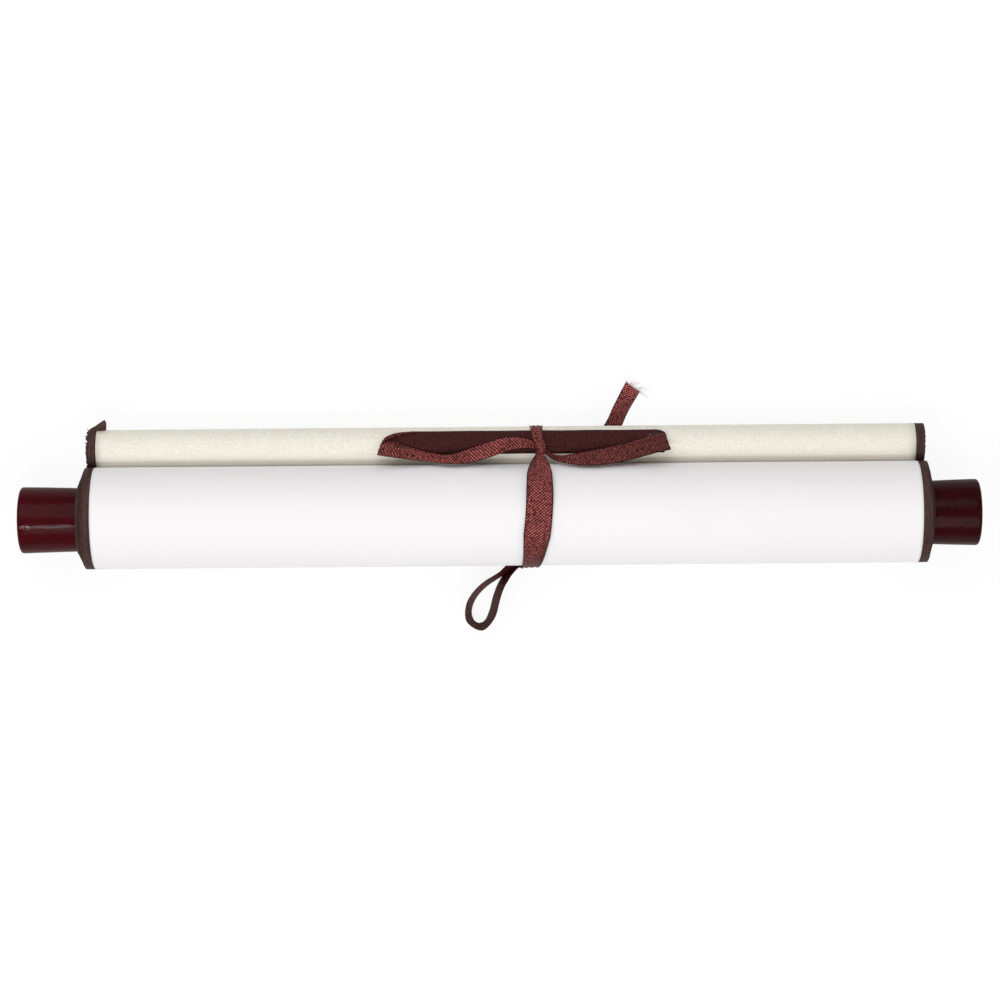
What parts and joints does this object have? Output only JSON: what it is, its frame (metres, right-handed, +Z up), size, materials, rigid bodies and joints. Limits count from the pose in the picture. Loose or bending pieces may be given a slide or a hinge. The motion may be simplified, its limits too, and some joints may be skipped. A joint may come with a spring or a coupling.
{
  "type": "hanging scroll",
  "caption": "Rolled hanging scroll with a white paper backing, brown edging, a silk-wrapped stave, dark red lacquered knobs and a flat tie ribbon.",
  "frame": {"origin": "on the small flat that the roll rests on, under the roll's axis, halfway between the outer ends of the two knobs", "axes": "+X along the roll, +Y towards the stave at the roll's side, +Z up"},
  "size_m": [0.36, 0.0957, 0.0388],
  "materials": {
    "paper_backing": "matte white laminated paper",
    "silk_brocade": "cream silk damask with faint tone-on-tone pattern",
    "brown_edging": "dark brown plain silk strip",
    "bare_wood": "plain sanded wood",
    "red_lacquer": "dark red gloss lacquer with fine orange peel",
    "wine_ribbon": "wine-red twill ribbon with a soft sheen"
  },
  "bodies": {
    "root": {"rolled_sheet": "paper_backing", "top_brocade": "silk_brocade", "left_edge_strip": "brown_edging", "right_edge_strip": "brown_edging", "roller_rod": "bare_wood", "left_knob": "red_lacquer", "right_knob": "red_lacquer", "top_stave": "bare_wood", "tie_ribbon": "wine_ribbon"}
  },
  "joints": []
}
